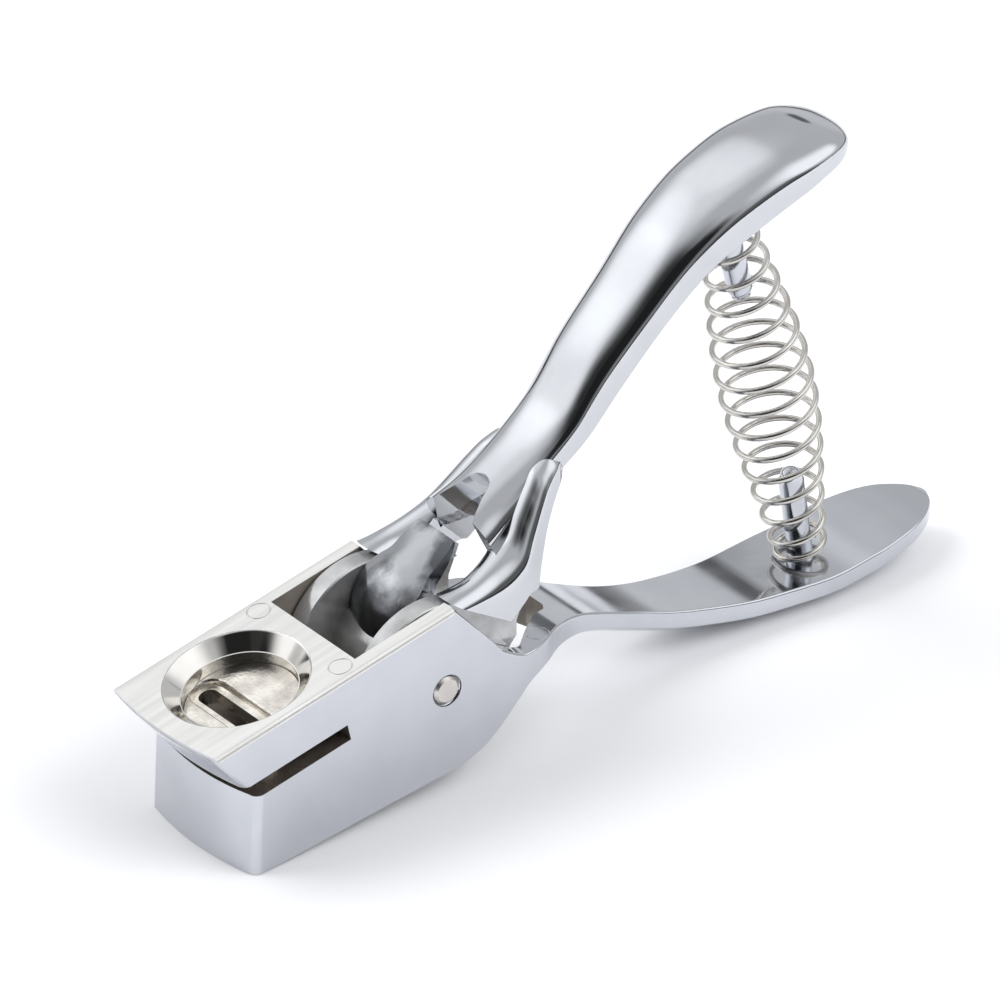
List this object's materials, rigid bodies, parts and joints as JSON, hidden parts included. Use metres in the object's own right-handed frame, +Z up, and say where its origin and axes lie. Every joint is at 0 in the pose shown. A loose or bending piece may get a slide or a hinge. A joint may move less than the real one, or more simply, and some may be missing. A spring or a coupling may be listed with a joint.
{
  "type": "id card slot punch",
  "caption": "Chromed hand punch that cuts a lanyard slot in cards: throat, funnel recess with die, forked lever, barrel return spring.",
  "frame": {"origin": "middle of the object's box, on the table it lies on", "axes": "+Z up, +X from the front lip towards the handles' tails, Y across the head, so that Y = 0 is the plane of symmetry"},
  "size_m": [0.1368, 0.0254, 0.0761],
  "materials": {
    "chromed_casting": "polished chrome, plate brushed along its length",
    "satin_nickel": "satin nickel, grainy",
    "tool_steel": "ground tool steel",
    "pin_steel": "ground steel",
    "chromed_lever": "polished chrome",
    "pin_nickel": "nickel-plated, turned end",
    "spring_wire": "bright nickel wire",
    "chromed_stud": "polished chrome"
  },
  "bodies": {
    "body": {"body_casting": "chromed_casting", "die_insert": "satin_nickel", "pivot_pin": "pin_nickel", "return_spring": "spring_wire", "lower_spring_stud": "chromed_stud"},
    "lever": {"lever_casting": "chromed_lever", "upper_spring_stud": "chromed_stud"},
    "punch": {"punch_blade": "tool_steel", "punch_link_pin": "pin_steel"}
  },
  "joints": [
    {"name": "lever_hinge", "type": "hinge", "parent": "body", "child": "lever", "pos_m": [-0.02742, 0, 0.0167], "axis": [0, 1, 0], "range_deg": [0, 12], "stiffness_Nm_per_rad": 4, "springref_deg": -14.32, "deforming": ["return_spring"]},
    {"name": "punch_slide", "type": "slide", "parent": "body", "child": "punch", "axis": [-0.1822, 0, 0.9833], "range_m": [0, 0.006]}
  ],
  "couplings": [
    {"joint": "punch_slide", "follows": "lever_hinge", "m_per_rad": 0.02813}
  ]
}
